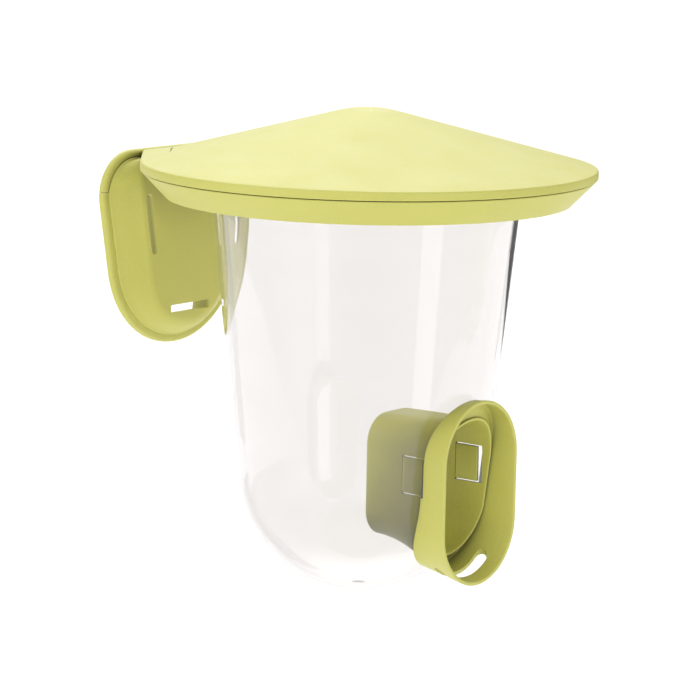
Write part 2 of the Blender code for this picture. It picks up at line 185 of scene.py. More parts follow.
def rounded(corners, radius, steps=5):
    """A closed polygon of (u, v) corners with each corner turned into an arc of the given radius."""
    points = []
    count = len(corners)
    for k in range(count):
        corner = Vector(corners[k])
        before = (Vector(corners[k - 1]) - corner).normalized()
        after = (Vector(corners[(k + 1) % count]) - corner).normalized()
        half = before.angle(after) / 2
        reach = min(
            radius / math.tan(half),
            0.48 * (Vector(corners[k - 1]) - corner).length,
            0.48 * (Vector(corners[(k + 1) % count]) - corner).length,
        )
        size = reach * math.tan(half)
        centre = corner + (before + after).normalized() * (size / math.sin(half))
        start, end = corner + before * reach - centre, corner + after * reach - centre
        turn = start.angle_signed(end)
        for step in range(steps + 1):
            angle = -turn * step / steps
            c, s = math.cos(angle), math.sin(angle)
            points.append(
                (centre.x + start.x * c - start.y * s, centre.y + start.x * s + start.y * c)
            )
    return points


def block(name, low, high, material=None, bevel=0.6 * MM):
    """A box with rounded edges."""
    mesh = bmesh.new()
    bmesh.ops.create_cube(mesh, size=1)
    for vert in mesh.verts:
        vert.co = Vector((low[i] + (vert.co[i] + 0.5) * (high[i] - low[i]) for i in range(3)))
    if bevel:
        bmesh.ops.bevel(
            mesh, geom=mesh.edges[:], offset=bevel, segments=3, profile=0.5, affect="EDGES"
        )
    return new_object(name, mesh, material)


def boolean(obj, operation, *others):
    """Applies Booleans to the object's mesh and removes the other objects."""
    for other in others:
        modifier = obj.modifiers.new("boolean", "BOOLEAN")
        modifier.operation = operation
        modifier.object = other
        modifier.solver = "EXACT"
    graph = bpy.context.evaluated_depsgraph_get()
    data = bpy.data.meshes.new_from_object(obj.evaluated_get(graph))
    obj.modifiers.clear()
    obj.data = data
    data.shade_smooth()
    data.set_sharp_from_angle(angle=math.radians(42))
    for other in others:
        bpy.data.objects.remove(other, do_unlink=True)
    return obj


def belt_point(circles, angle, growth=0.0):
    """The point of the tight belt over some circles (u, v, radius) that faces a direction."""
    du, dv = math.cos(angle), math.sin(angle)
    u, v, r = max(circles, key=lambda c: c[0] * du + c[1] * dv + c[2])
    return u + (r + growth) * du, v + (r + growth) * dv


def directions(count):
    return [2 * math.pi * (k + 0.5) / count for k in range(count)]


def blend(start, end, share):
    return tuple(a + (b - a) * share for a, b in zip(start, end))


def show(obj, body, node=None):
    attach(obj, body)
    if node:
        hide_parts(node)
    return obj


# ---- materials -------------------------------------------------------------------------------------


class Nodes:
    """Short names for building a material's node tree."""

    def __init__(self, name):
        self.material = bpy.data.materials.new(name)
        self.material.use_nodes = True
        self.tree = self.material.node_tree
        self.shader = self.tree.nodes["Principled BSDF"]
        self.output = self.tree.nodes["Material Output"]

    def add(self, kind, **settings):
        node = self.tree.nodes.new(kind)
        for key, value in settings.items():
            if key in node.inputs:
                node.inputs[key].default_value = value
            else:
                setattr(node, key, value)
        return node

    def link(self, source, output, target, name):
        self.tree.links.new(source.outputs[output], target.inputs[name])

    def noise(self, scale, detail=2.0, roughness=0.5, stretch=(1, 1, 1)):
        """Noise in the object's own space. The scale is in features a metre."""
        coordinates = self.add("ShaderNodeTexCoord")
        mapping = self.add("ShaderNodeMapping")
        mapping.inputs["Scale"].default_value = stretch
        self.link(coordinates, "Object", mapping, "Vector")
        noise = self.add("ShaderNodeTexNoise", Scale=scale, Detail=detail, Roughness=roughness)
        self.link(mapping, "Vector", noise, "Vector")
        return noise

    def spread(self, source, output, low, high, to_low=0.0, to_high=1.0):
        """A value stretched from one range to another, and kept inside it."""
        node = self.add("ShaderNodeMapRange")
        node.inputs["From Min"].default_value = low
        node.inputs["From Max"].default_value = high
        node.inputs["To Min"].default_value = to_low
        node.inputs["To Max"].default_value = to_high
        self.link(source, output, node, "Value")
        return node

    def mix_color(self, factor, factor_output, first, second):
        node = self.add("ShaderNodeMix", data_type="RGBA")
        self.tree.links.new(factor.outputs[factor_output], node.inputs["Factor"])
        for index, color in ((6, first), (7, second)):
            if isinstance(color, tuple):
                node.inputs[index].default_value = (*color, 1)
            else:
                self.tree.links.new(color.outputs[2], node.inputs[index])
        return node


def green_plastic():
    """Matt moulded plastic: fine grain, slow tone drift, a painted highlight on the edges and painted shade
    in the hollows.
    """
    n = Nodes("green_plastic")
    drift = n.spread(n.noise(9, 3), "Fac", 0.3, 0.7)
    tone = n.mix_color(drift, "Result", (0.605, 0.588, 0.13), (0.635, 0.615, 0.142))
    speck = n.spread(n.noise(900, 2), "Fac", 0.35, 0.65)
    speckled = n.add("ShaderNodeMix", data_type="RGBA", blend_type="MULTIPLY")
    speckled.inputs["Factor"].default_value = 0.04
    n.tree.links.new(tone.outputs[2], speckled.inputs[6])
    n.tree.links.new(speck.outputs["Result"], speckled.inputs[7])
    geometry = n.add("ShaderNodeNewGeometry")
    # Convex edges, found by pointiness, are painted a lighter tone: a painted highlight along the rims.
    edge = n.spread(geometry, "Pointiness", 0.515, 0.6, 0.0, 0.3)
    edge_highlighted = n.mix_color(edge, "Result", speckled, (0.7, 0.69, 0.24))
    # Ambient occlusion darkens the colour in hollows, creases and inside the hood and bracket: painted
    # shade.
    shade_occlusion = n.add("ShaderNodeAmbientOcclusion", samples=4, Distance=60 * MM)
    painted_shade_share = n.spread(shade_occlusion, "AO", 0.1, 0.7, 0.12, 1.0)
    shaded = n.add("ShaderNodeMix", data_type="RGBA", blend_type="MULTIPLY")
    shaded.inputs["Factor"].default_value = 1
    n.tree.links.new(edge_highlighted.outputs[2], shaded.inputs[6])
    n.tree.links.new(painted_shade_share.outputs["Result"], shaded.inputs[7])
    n.tree.links.new(shaded.outputs[2], n.shader.inputs["Base Color"])

    gloss = n.spread(n.noise(40, 4, 0.6), "Fac", 0.3, 0.7, 0.42, 0.52)
    n.link(gloss, "Result", n.shader, "Roughness")
    n.shader.inputs["IOR"].default_value = 1.5

    grain = n.noise(2600, 2, 0.6)
    flow = n.noise(55, 2)
    fine = n.add("ShaderNodeBump", Strength=0.12, Distance=0.05 * MM)
    n.link(grain, "Fac", fine, "Height")
    broad = n.add("ShaderNodeBump", Strength=0.25, Distance=0.12 * MM)
    n.link(flow, "Fac", broad, "Height")
    n.link(fine, "Normal", broad, "Normal")
    n.link(broad, "Normal", n.shader, "Normal")
    return n.material


def clear_plastic():
    """Clear moulded plastic: a faint painted glow, flow waves down the wall, and patches rubbed a little
    dull.
    """
    n = Nodes("clear_plastic")
    n.shader.inputs["Base Color"].default_value = (0.865, 0.847, 0.838, 1)
    n.shader.inputs["IOR"].default_value = 1.49
    n.shader.inputs["Transmission Weight"].default_value = 1
    scuff = n.spread(n.noise(60, 2, 0.5, (1, 1, 0.2)), "Fac", 0.45, 0.8, 0.0, 0.035)
    n.link(scuff, "Result", n.shader, "Roughness")
    waves = n.noise(14, 1, 0.4, (1, 1, 0.3))
    bump = n.add("ShaderNodeBump", Strength=0.1, Distance=0.3 * MM)
    n.link(waves, "Fac", bump, "Height")
    n.link(bump, "Normal", n.shader, "Normal")

    # A faint white glow is painted light standing in for light scattered by haze in the plastic, strongest
    # where the wall is seen edge on.
    edge_on = n.add("ShaderNodeLayerWeight", Blend=0.35)
    glow_patches = n.spread(n.noise(22, 1), "Fac", 0.3, 0.7, 0.9, 1.1)
    painted_glow = n.spread(edge_on, "Facing", 0.0, 1.0, 0.008, 0.05)
    strength = n.add("ShaderNodeMath", operation="MULTIPLY")
    n.tree.links.new(painted_glow.outputs["Result"], strength.inputs[0])
    n.tree.links.new(glow_patches.outputs["Result"], strength.inputs[1])
    n.shader.inputs["Emission Color"].default_value = (1, 0.985, 0.97, 1)
    n.link(strength, "Value", n.shader, "Emission Strength")
    # Light on its way to and from matt surfaces goes straight through.
    path = n.add("ShaderNodeLightPath")
    soft_ray = n.add("ShaderNodeMath", operation="MAXIMUM")
    n.tree.links.new(path.outputs["Is Shadow Ray"], soft_ray.inputs[0])
    n.tree.links.new(path.outputs["Is Diffuse Ray"], soft_ray.inputs[1])
    straight = n.add("ShaderNodeBsdfTransparent")
    straight.inputs["Color"].default_value = (0.96, 0.955, 0.95, 1)
    mixed = n.add("ShaderNodeMixShader")
    n.link(soft_ray, "Value", mixed, "Fac")
    n.tree.links.new(n.shader.outputs[0], mixed.inputs[1])
    n.tree.links.new(straight.outputs[0], mixed.inputs[2])
    n.tree.links.new(mixed.outputs[0], n.output.inputs["Surface"])
    return n.material


GREEN = green_plastic()
CLEAR = clear_plastic()


# ---- hopper ----------------------------------------------------------------------------------------


def tub_radius(z, offset=0.0):
    """Radius of the tub's outer surface, grown by offset, at a height."""
    join = BALL_Z - (BALL_RADIUS + offset) * math.sin(TAPER_ANGLE)
    if z >= join:
        cone = CONE_RADIUS_AT_BALL + HOPPER_TAPER * (z - BALL_Z)
        return cone + offset / math.cos(TAPER_ANGLE)
    return math.sqrt(max(0.0, (BALL_RADIUS + offset) ** 2 - (z - BALL_Z) ** 2))


def tub_profile(top, offset, steps=40):
    """The tub's side from z = top down to the axis."""
    join = BALL_Z - (BALL_RADIUS + offset) * math.sin(TAPER_ANGLE)
    points = []
    for k in range(12):
        z = top + (join - top) * k / 12
        points.append((tub_radius(z, offset), z))
    for k in range(steps + 1):
        angle = TAPER_ANGLE + (math.pi / 2 - TAPER_ANGLE) * k / steps
        radius = BALL_RADIUS + offset
        points.append((radius * math.cos(angle), BALL_Z - radius * math.sin(angle)))
    points[-1] = (0, points[-1][1])
    return points


def build_hopper():
    rim_top, rim_bottom = HOPPER_HIGH.z, HOPPER_HIGH.z - RIM_THICKNESS
    outer = tub_profile(rim_bottom - 0.8 * MM, 0)[::-1]
    # A shallow ring where the moulding gate was trimmed.
    gate_radius, gate_depth = 3.4 * MM, 0.3 * MM
    outer = [point for point in outer if point[0] > gate_radius + 0.8 * MM]
    ball_bottom = HOPPER_LOW.z
    outer = [
        (0, ball_bottom + gate_depth),
        (gate_radius - 0.4 * MM, ball_bottom + gate_depth),
        (gate_radius, ball_bottom + 0.07 * MM),
    ] + outer
    inner = tub_profile(rim_top - 0.7 * MM, -HOPPER_WALL)
    lip = RIM_RADIUS - 0.6 * MM
    inner_top = tub_radius(rim_top, -HOPPER_WALL)
    rim = [
        (tub_radius(rim_bottom) + 0.5 * MM, rim_bottom),
        (lip, rim_bottom),
        (RIM_RADIUS - 0.15 * MM, rim_bottom + 0.25 * MM),
        (RIM_RADIUS, rim_bottom + 0.7 * MM),
        (RIM_RADIUS, rim_top - 0.7 * MM),
        (RIM_RADIUS - 0.15 * MM, rim_top - 0.25 * MM),
        (lip, rim_top),
        (inner_top + 0.7 * MM, rim_top),
        (inner_top + 0.2 * MM, rim_top - 0.2 * MM),
    ]
    hopper = turned("clear_hopper", outer + rim + inner, CLEAR)
    hole = skin("hole", [hole_ring((45 + 3 * k) * MM) for k in range(19)])
    boolean(hopper, "DIFFERENCE", hole)
    return show(hopper, "feeder", "hopper")


# ---- collar ----------------------------------------------------------------------------------------


def level_ring(radius, z):
    """A level circle. Inside the skirt it is about the hopper's axis, and further out about the roof's."""
    centre_y = AXIS_Y - (ROOF_FORWARD if radius > 120 * MM else 0)
    return [
        (radius * math.cos(angle), centre_y + radius * math.sin(angle), z)
        for angle in directions(240)
    ]


def build_collar():
    slope = (COLLAR_TOP_RADIUS - COLLAR_LOW_RADIUS) / (COLLAR_TOP - COLLAR_BOTTOM)
    width = COLLAR_WALL * math.hypot(1, slope)
    floor_top = COLLAR_BOTTOM + COLLAR_WALL
    inner_side = COLLAR_HOLE_RADIUS + COLLAR_WALL
    corners = [
        (COLLAR_TOP_RADIUS, COLLAR_TOP),
        (COLLAR_LOW_RADIUS, COLLAR_BOTTOM),
        (COLLAR_HOLE_RADIUS, COLLAR_BOTTOM),
        (COLLAR_HOLE_RADIUS, UPSTAND_TOP),
        (inner_side, UPSTAND_TOP),
        (inner_side, floor_top),
        (COLLAR_LOW_RADIUS + COLLAR_WALL * slope - width, floor_top),
        (COLLAR_TOP_RADIUS - width, COLLAR_TOP),
    ]
    rings = [level_ring(radius, z) for radius, z in rounded(corners, 0.7 * MM)]
    show(skin("collar_saucer", rings, GREEN, loop=True), "feeder", "support_collar")

    arm_half_width = 27 * MM
    arm_back = PLATE_Y - 0.4 * MM
    arm = block(
        "collar_arm",
        (-arm_half_width, AXIS_Y + 128 * MM, COLLAR_BOTTOM + 0.2 * MM),
        (arm_half_width, arm_back, 122.9 * MM),
        GREEN,
        0.9 * MM,
    )
    show(arm, "feeder")
    for side, name in ((-1, "left"), (1, "right")):
        low_x, high_x = sorted((side * 10 * MM, side * 24 * MM))
        hook_back = COLLAR_HIGH.y
        lip_front = hook_back - 2.7 * MM
        # The side view of a hook: a bar through the plate's window, and a lip behind the plate.
        side_view = [
            (arm_back - 1 * MM, COLLAR_BOTTOM + GAP),
            (lip_front, COLLAR_BOTTOM + GAP),
            (lip_front, 107.6 * MM),
            (hook_back, 107.6 * MM),
            (hook_back, 116.1 * MM),
            (arm_back - 1 * MM, 116.1 * MM),
        ]
        outline = rounded(side_view, 0.6 * MM)
        rings = [[(x, y, z) for y, z in outline] for x in (low_x, high_x)]
        hook = skin(f"collar_hook_{name}", rings, GREEN)
        show(hook, "feeder")


# ---- roof ------------------------------------------------------------------------------------------

ROOF_DIRECTIONS = directions(240)


def roof_plan(inset):
    x, y, radius = ROOF_CORNER
    circles = [(0, -ROOF_FORWARD, ROOF_RADIUS), (x, y, radius), (-x, y, radius)]
    return [belt_point(circles, angle, -inset) for angle in ROOF_DIRECTIONS]


def roof_height(plan_point, share):
    slope = (ROOF_CONE_TIP_Z - ROOF_RIM_Z) / ROOF_RADIUS
    distance = math.hypot(*plan_point) * share
    if distance > ROOF_RADIUS:
        return ROOF_RIM_Z - ROOF_REAR_DROP * (distance - ROOF_RADIUS)
    if distance > ROOF_TIP_BLEND:
        return ROOF_CONE_TIP_Z - slope * distance
    blended = ROOF_TIP_BLEND / 2 + distance**2 / (2 * ROOF_TIP_BLEND)
    return min(ROOF_CONE_TIP_Z - slope * blended, ROOF_HIGH.z)


def roof_ring(inset, share, drop=0.0):
    ring = []
    for point in roof_plan(inset):
        reached = share
        if share == BREAK_SHARE:
            reached = min(share, 0.985 * ROOF_RADIUS / math.hypot(*point))
        z = max(roof_height(point, reached) - drop, ROOF_BAND_BOTTOM + 0.5 * MM)
        ring.append((point[0] * reached, AXIS_Y + point[1] * reached, z))
    return ring


def level_roof_ring(inset, z):
    return [(x, AXIS_Y + y, z) for x, y in roof_plan(inset)]


def build_roof():
    shares = [0.01, 0.02, 0.04, 0.06, 0.08, 0.1, 0.12, 0.14, 0.16, 0.2]
    shares += [0.3 + 0.1 * k for k in range(6)] + [0.87, BREAK_SHARE]
    rings = [roof_ring(0, share) for share in shares]
    edge = 1.2 * MM
    for k in range(7):
        angle = math.pi / 2 * k / 6
        rings.append(roof_ring(edge * (1 - math.sin(angle)), 1, edge * (1 - math.cos(angle))))
    low_edge = 0.5 * MM
    rings.append(level_roof_ring(0, ROOF_BAND_BOTTOM + 0.9 * MM + low_edge))
    for k in range(5):
        angle = math.pi / 2 * k / 4
        z = ROOF_BAND_BOTTOM + low_edge * (1 - math.sin(angle))
        rings.append(level_roof_ring(low_edge * (1 - math.cos(angle)), z))
    rings.append(level_roof_ring(ROOF_WALL, ROOF_BAND_BOTTOM))
    drop = ROOF_WALL + 0.1 * MM
    rings.append(roof_ring(ROOF_WALL, 1, drop))
    rings += [roof_ring(ROOF_WALL, share, drop) for share in shares[::-1]]
    roof = skin("roof_shell", rings, GREEN)
    show(roof, "roof", "roof_lid")

    ring_low, ring_high = ROOF_LOW.z + 19.2 * MM, ROOF_RIM_Z + 1.2 * MM
    inner, outer = 137.2 * MM, 139.6 * MM
    corners = [(outer, ring_high), (outer, ring_low), (inner, ring_low), (inner, ring_high)]
    rings = [level_ring(radius, z) for radius, z in rounded(corners, 0.6 * MM, 3)]
    show(skin("roof_locating_ring", rings, GREEN, loop=True), "roof")
    show(build_saddle(), "roof")


def corner_arc_points(inset, level, above, steps=28):
    """Half of the flange's outline, from its mirror plane to the level where flange and saddle meet."""
    x, z, radius = FLANGE_CORNER
    meeting = math.asin((level - z) / (radius - inset))
    points = []
    if above:
        points.append((0, z + radius - inset))
        for k in range(steps + 1):
            angle = math.pi / 2 + (meeting - math.pi / 2) * k / steps
            reach = radius - inset
            points.append((x + reach * math.cos(angle), z + reach * math.sin(angle)))
        return points
    circles = [FLANGE_LOW_CIRCLE, FLANGE_CORNER]
    start, steps = -math.pi / 2, 2 * steps
    for k in range(steps + 1):
        angle = start + (meeting - start) * k / steps
        points.append(belt_point(circles, angle, -inset))
    return points


def flange_section(inner):
    """The flange's section as (inset, y): a rounded outer edge, and a small fillet at the inner one."""
    wide, deep, small = 2.6 * MM, 2.8 * MM, 0.4 * MM
    points = [(0, 0), (0, -0.6 * MM)]
    for k in range(9):
        angle = math.pi / 2 * k / 8
        inset = wide * (1 - math.cos(angle))
        points.append((inset, -(FLANGE_THICKNESS - deep) - deep * math.sin(angle)))
    for k in range(5):
        angle = math.pi / 2 * k / 4
        points.append(
            (inner - small * (1 - math.sin(angle)), -FLANGE_THICKNESS + small * (1 - math.cos(angle)))
        )
    return points + [(inner, 0)]


def outline_sweep(name, section, level, above):
    """A bar whose section (inset, y) runs along the flange's outline, cut off at a level."""
    rings = []
    halves = [corner_arc_points(inset, level, above) for inset, _ in section]
    for k in range(len(halves[0]) - 1, 0, -1):
        rings.append([(-half[k][0], y, half[k][1]) for half, (_, y) in zip(halves, section)])
    for k in range(len(halves[0])):
        rings.append([(half[k][0], y, half[k][1]) for half, (_, y) in zip(halves, section)])
    return skin(name, rings, GREEN)


def build_saddle():
    """The part of the roof that continues the bracket's flange over its top."""
    return outline_sweep("roof_saddle", flange_section(FLANGE_WIDTH), SADDLE_END_Z + GAP, True)


# ---- bracket ---------------------------------------------------------------------------------------

UPRIGHT_DIRECTIONS = directions(200)


def both_corners(low_circle, corner):
    x, z, radius = corner
    return [low_circle, (x, z, radius), (-x, z, radius)]


FLANGE = both_corners(FLANGE_LOW_CIRCLE, FLANGE_CORNER)
PLATE = both_corners(PLATE_LOW_CIRCLE, PLATE_CORNER)


def upright_ring(circles, inset, y, angles=UPRIGHT_DIRECTIONS):
    points = [belt_point(circles, angle, -inset) for angle in angles]
    return [(x, y, z) for x, z in points]


def between(first, second, share):
    return [blend(a, b, share) for a, b in zip(first, second)]


def arc_rings(start, corner, end, steps=5):
    """Rings along a smooth curve that leaves start towards corner and arrives at end from it."""
    rings = []
    for k in range(steps + 1):
        share = k / steps
        rings.append(between(between(start, corner, share), between(corner, end, share), share))
    return rings


def slot_cutter(name, circles, edge=0.5 * MM):
    """A cutter through the plate that is wider at both mouths, which leaves chamfered edges."""
    angles = directions(48)
    back = PLATE_Y + BRACKET_WALL
    stations = [
        (-edge * 2, PLATE_Y - edge),
        (0, PLATE_Y + edge),
        (0, back - edge),
        (-edge * 2, back + edge),
    ]
    return skin(name, [upright_ring(circles, inset, y, angles) for inset, y in stations])


def build_bracket():
    rim_inset = FLANGE_WIDTH + GAP
    wall_inset = rim_inset + 2.8 * MM
    back = PLATE_Y + BRACKET_WALL
    shoulder_y = -FLANGE_THICKNESS - 0.9 * MM
    rings = [upright_ring(PLATE, inset * MM, PLATE_Y) for inset in (14.5, 9, 4)]
    slope_top = upright_ring(PLATE, -4.5 * MM, PLATE_Y + 2.6 * MM)
    rings += arc_rings(
        upright_ring(PLATE, 1.5 * MM, PLATE_Y), upright_ring(PLATE, -1.4 * MM, PLATE_Y), slope_top
    )
    slope_low = upright_ring(FLANGE, rim_inset + 1.1 * MM, shoulder_y - 0.35 * MM)
    rings += [between(slope_top, slope_low, share) for share in (0.25, 0.5, 0.75)]
    rings += arc_rings(
        slope_low,
        upright_ring(FLANGE, rim_inset, shoulder_y),
        upright_ring(FLANGE, rim_inset, shoulder_y + 1.1 * MM),
    )
    rings += [
        upright_ring(FLANGE, rim_inset, -0.4 * MM),
        upright_ring(FLANGE, rim_inset + 0.4 * MM, 0),
        upright_ring(FLANGE, wall_inset - 0.4 * MM, 0),
        upright_ring(FLANGE, wall_inset, -0.4 * MM),
        upright_ring(FLANGE, wall_inset, -FLANGE_THICKNESS + 1.2 * MM),
        upright_ring(PLATE, -1.4 * MM, back + 1.4 * MM),
        upright_ring(PLATE, 1.8 * MM, back),
    ]
    shell = skin("bracket_pan", rings, GREEN)

    cutters = []
    for side in (-1, 1):
        ends = [(side * 42.8 * MM, 101 * MM, 2.6 * MM), (side * 36.6 * MM, 65 * MM, 2.6 * MM)]
        cutters.append(slot_cutter("side_slot", ends))
    corner = 0.9 * MM
    low_slot = [
        (side * (19.3 * MM - corner), z, corner) for side in (-1, 1) for z in (20.8 * MM, 24.2 * MM)
    ]
    cutters.append(slot_cutter("low_slot", low_slot, 0.4 * MM))
    for side in (-1, 1):
        xs = sorted((side * 9.4 * MM, side * 24.6 * MM))
        low, high = (xs[0], PLATE_Y - 5 * MM, 112.2 * MM), (xs[1], PLATE_Y + 6 * MM, 122 * MM)
        cutters.append(block("hook_window", low, high, None, 0))
    boolean(shell, "DIFFERENCE", *cutters)
    show(shell, "bracket", "wall_bracket")

    section = flange_section(rim_inset + 1.4 * MM)
    show(outline_sweep("bracket_flange", section, SADDLE_END_Z, False), "bracket")

    for side, name in ((-1, "left"), (1, "right")):
        rings = []
        for z in (-20 * MM, 103.6 * MM, 104 * MM):
            # The ribs lean outwards towards the top.
            middle = RIB_X + RIB_LEAN * (z - RIB_LOW_Z)
            near, far = middle + 0.1 * MM, middle + 2.4 * MM
            front, rear = back - 0.3 * MM, -0.05 * MM
            corners = [(near, front), (far, front), (far, rear), (near, rear)]
            rings.append([(side * x, y, z) for x, y in rounded(corners, 0.5 * MM, 3)])
        rib = skin(f"bracket_rib_{name}", rings, GREEN)
        room = skin(
            "rib_room",
            [
                upright_ring(PLATE, 1 * MM, back - 1 * MM),
                upright_ring(FLANGE, wall_inset - 1.4 * MM, -FLANGE_THICKNESS + 0.4 * MM),
                upright_ring(FLANGE, wall_inset - 1.4 * MM, 1 * MM),
            ],
        )
        show(boolean(rib, "INTERSECT", room), "bracket")


# ---- port ------------------------------------------------------------------------------------------

PORT_DIRECTIONS = directions(176)


def hood_circles(forward):
    side_draft, top_draft, bottom_draft = 0.25, 0.1, 0.175
    back = HOOD_FRONT - forward
    half_width = HOOD_HALF_WIDTH - side_draft * back
    top, bottom = HOOD_TOP - top_draft * back, HOOD_BOTTOM + bottom_draft * back
    return [(0, top - half_width, half_width), (0, bottom + half_width, half_width)]


def tube_circles(forward):
    depth = forward - TUBE_INNER_END
    half_width = 27.5 * MM + 0.073 * depth
    top = -25 * MM + 0.055 * depth
    flare = min(max(forward, TUBE_INNER_END), TUBE_FLARE_END) - TUBE_INNER_END
    bottom = -106.5 * MM - 8 * flare**2 - 0.01 * max(0, forward - TUBE_FLARE_END)
    share = min(1, max(0, depth / (50 * MM)))
    corner = TUBE_CORNER + (half_width - 0.3 * MM - TUBE_CORNER) * share
    return [
        (side * (half_width - corner), z, corner)
        for side in (-1, 1)
        for z in (top - corner, bottom + corner)
    ]


def hole_ring(forward):
    """The hopper's hole clears every section of the tube that is pulled out through it."""
    circles = [c for at in (forward, 26 * MM, 38 * MM, 50 * MM) for c in tube_circles(at)]
    ring = []
    for angle in PORT_DIRECTIONS:
        x, z = belt_point(circles, angle, HOLE_CLEARANCE)
        ring.append((x, AXIS_Y - forward, z))
    return ring


def on_tub(x, z, offset):
    """The point of the tub's front, grown by offset, at this x and z."""
    forward = math.sqrt(max(0.0, tub_radius(z, offset) ** 2 - x * x))
    return (x, AXIS_Y - forward, z)


def meets_tub(circles_at, angle, growth, offset):
    """How far forward a wall, drawn in one direction round its belt, meets the tub grown by offset."""
    low, high = 30 * MM, HOOD_FRONT
    for _ in range(40):
        middle = (low + high) / 2
        x, z = belt_point(circles_at(middle), angle, growth)
        if middle < AXIS_Y - on_tub(x, z, offset)[1]:
            low = middle
        else:
            high = middle
    return (low + high) / 2


def wall_ring(circles_at, growth, place):
    """A ring on a hood or tube wall. place(angle) gives how far forward each point lies."""
    ring = []
    for angle in PORT_DIRECTIONS:
        forward = place(angle)
        x, z = belt_point(circles_at(forward), angle, growth)
        ring.append((x, AXIS_Y - forward, z))
    return ring


def tub_between(first, second, share, offset):
    """A point on the tub, grown by offset, part of the way between two points on it."""
    x, z = blend((first[0], first[2]), (second[0], second[2]), share)
    return on_tub(x, z, offset)


def seat_rings(outer, inner, offset, steps):
    """Rings over the tub's surface between two outlines on it."""
    rings = []
    for k in range(1, steps):
        rings.append([tub_between(a, b, k / steps, offset) for a, b in zip(outer, inner)])
    return rings


def build_port():
    seat = GAP + SEAT_THICKNESS
    hood_back = {a: meets_tub(hood_circles, a, 0, GAP) for a in PORT_DIRECTIONS}
    hood_seat = {a: meets_tub(hood_circles, a, -HOOD_WALL, seat) for a in PORT_DIRECTIONS}
    tube_back = {a: meets_tub(tube_circles, a, 0, GAP) for a in PORT_DIRECTIONS}

    rings = []
    # The hood's outside, its rounded front rim and its inside.
    rim = 0.7 * MM
    for share in (0.0, 0.02, 0.2, 0.4, 0.6, 0.8, 0.93):
        reach = HOOD_FRONT - rim
        rings.append(wall_ring(hood_circles, 0, lambda a: hood_back[a] + (reach - hood_back[a]) * share))
    # Two quarter turns of five rings each, with the rim's flat face between them.
    for k in range(10):
        angle = math.pi / 2 * (k if k < 5 else k - 1) / 4
        forward = HOOD_FRONT - rim + rim * math.sin(angle)
        growth = -rim * (1 - math.cos(angle)) - (HOOD_WALL - 2 * rim) * (k > 4)
        rings.append(wall_ring(hood_circles, growth, lambda a: forward))
    fillet = 1.6 * MM
    for share in (0.15, 0.4, 0.7, 1.0):
        reach = HOOD_FRONT - rim
        rings.append(
            wall_ring(
                hood_circles, -HOOD_WALL, lambda a: reach + (hood_seat[a] + fillet - reach) * share
            )
        )
    corner = wall_ring(hood_circles, -HOOD_WALL, lambda a: hood_seat[a])
    lip_foot = wall_ring(tube_circles, 0, lambda a: meets_tub(tube_circles, a, 0, seat))
    seat_start = []
    for a, b in zip(corner, lip_foot):
        length = max(math.dist((a[0], a[2]), (b[0], b[2])), 1e-6)
        seat_start.append(tub_between(a, b, min(0.45, fillet / length), seat))
    rings += arc_rings(rings[-1], corner, seat_start, 4)[1:]
    rings += seat_rings(seat_start, lip_foot, seat, 4)

    # The rounded lip round the mouth.
    half = TUBE_WALL / 2
    straight = 0.5 * MM
    rings.append(lip_foot)
    for k in range(9):
        angle = math.pi * k / 8
        growth = -half * (1 - math.cos(angle))
        offset = seat + straight + half * math.sin(angle)
        rings.append(wall_ring(tube_circles, growth, lambda a: meets_tub(tube_circles, a, growth, offset)))

    # The tube's inside, its rounded inner end and its outside.
    mouth = {a: meets_tub(tube_circles, a, -TUBE_WALL, seat + straight) for a in PORT_DIRECTIONS}
    end = TUBE_INNER_END + half
    for k in range(1, 15):
        rings.append(wall_ring(tube_circles, -TUBE_WALL, lambda a: mouth[a] + (end - mouth[a]) * k / 14))
    for k in range(1, 8):
        angle = math.pi * k / 8
        forward = end - half * math.sin(angle)
        rings.append(wall_ring(tube_circles, -half * (1 + math.cos(angle)), lambda a: forward))
    for k in range(15):
        rings.append(wall_ring(tube_circles, 0, lambda a: end + (tube_back[a] - end) * k / 14))
    rings += seat_rings(rings[-1], rings[0], GAP, 4)
    port = skin("port_moulding", rings, GREEN, loop=True)

    cutters = [drain_cutter()]
    for side in (-1, 1):
        xs = sorted((side * 20 * MM, side * 45 * MM))
        low = (xs[0], AXIS_Y - 78.2 * MM, TONGUE_Z[0] - TONGUE_SLIT)
        high = (xs[1], AXIS_Y - TONGUE_ROOT, TONGUE_Z[1] + TONGUE_SLIT)
        cutters.append(block("tongue_window", low, high, None, 0))
    boolean(port, "DIFFERENCE", *cutters)
    return show(port, "port", "port_insert")


def drain_cutter():
    """An upright obround through the bottom of the hood."""
    forward, half_length, half_width = 84.7 * MM, 25.5 * MM, 4.4 * MM
    ends = [(side * (half_length - half_width), forward, half_width) for side in (-1, 1)]
    points = [belt_point(ends, angle) for angle in directions(64)]
    levels = (HOOD_BOTTOM - 10 * MM, HOOD_BOTTOM + 25 * MM)
    return skin("drain", [[(x, AXIS_Y - f, z) for x, f in points] for z in levels])


def tube_side(forward, z):
    """Half-width of the tube's outside at a height."""
    reach = 0
    for x, centre_z, radius in tube_circles(forward):
        rise = z - centre_z
        if x >= 0 and abs(rise) < radius:
            reach = max(reach, x + math.sqrt(radius**2 - rise**2))
    low, high = (sorted({c[1] for c in tube_circles(forward)})[i] for i in (0, -1))
    if low <= z <= high:
        reach = max(x + radius for x, _, radius in tube_circles(forward))
    return reach


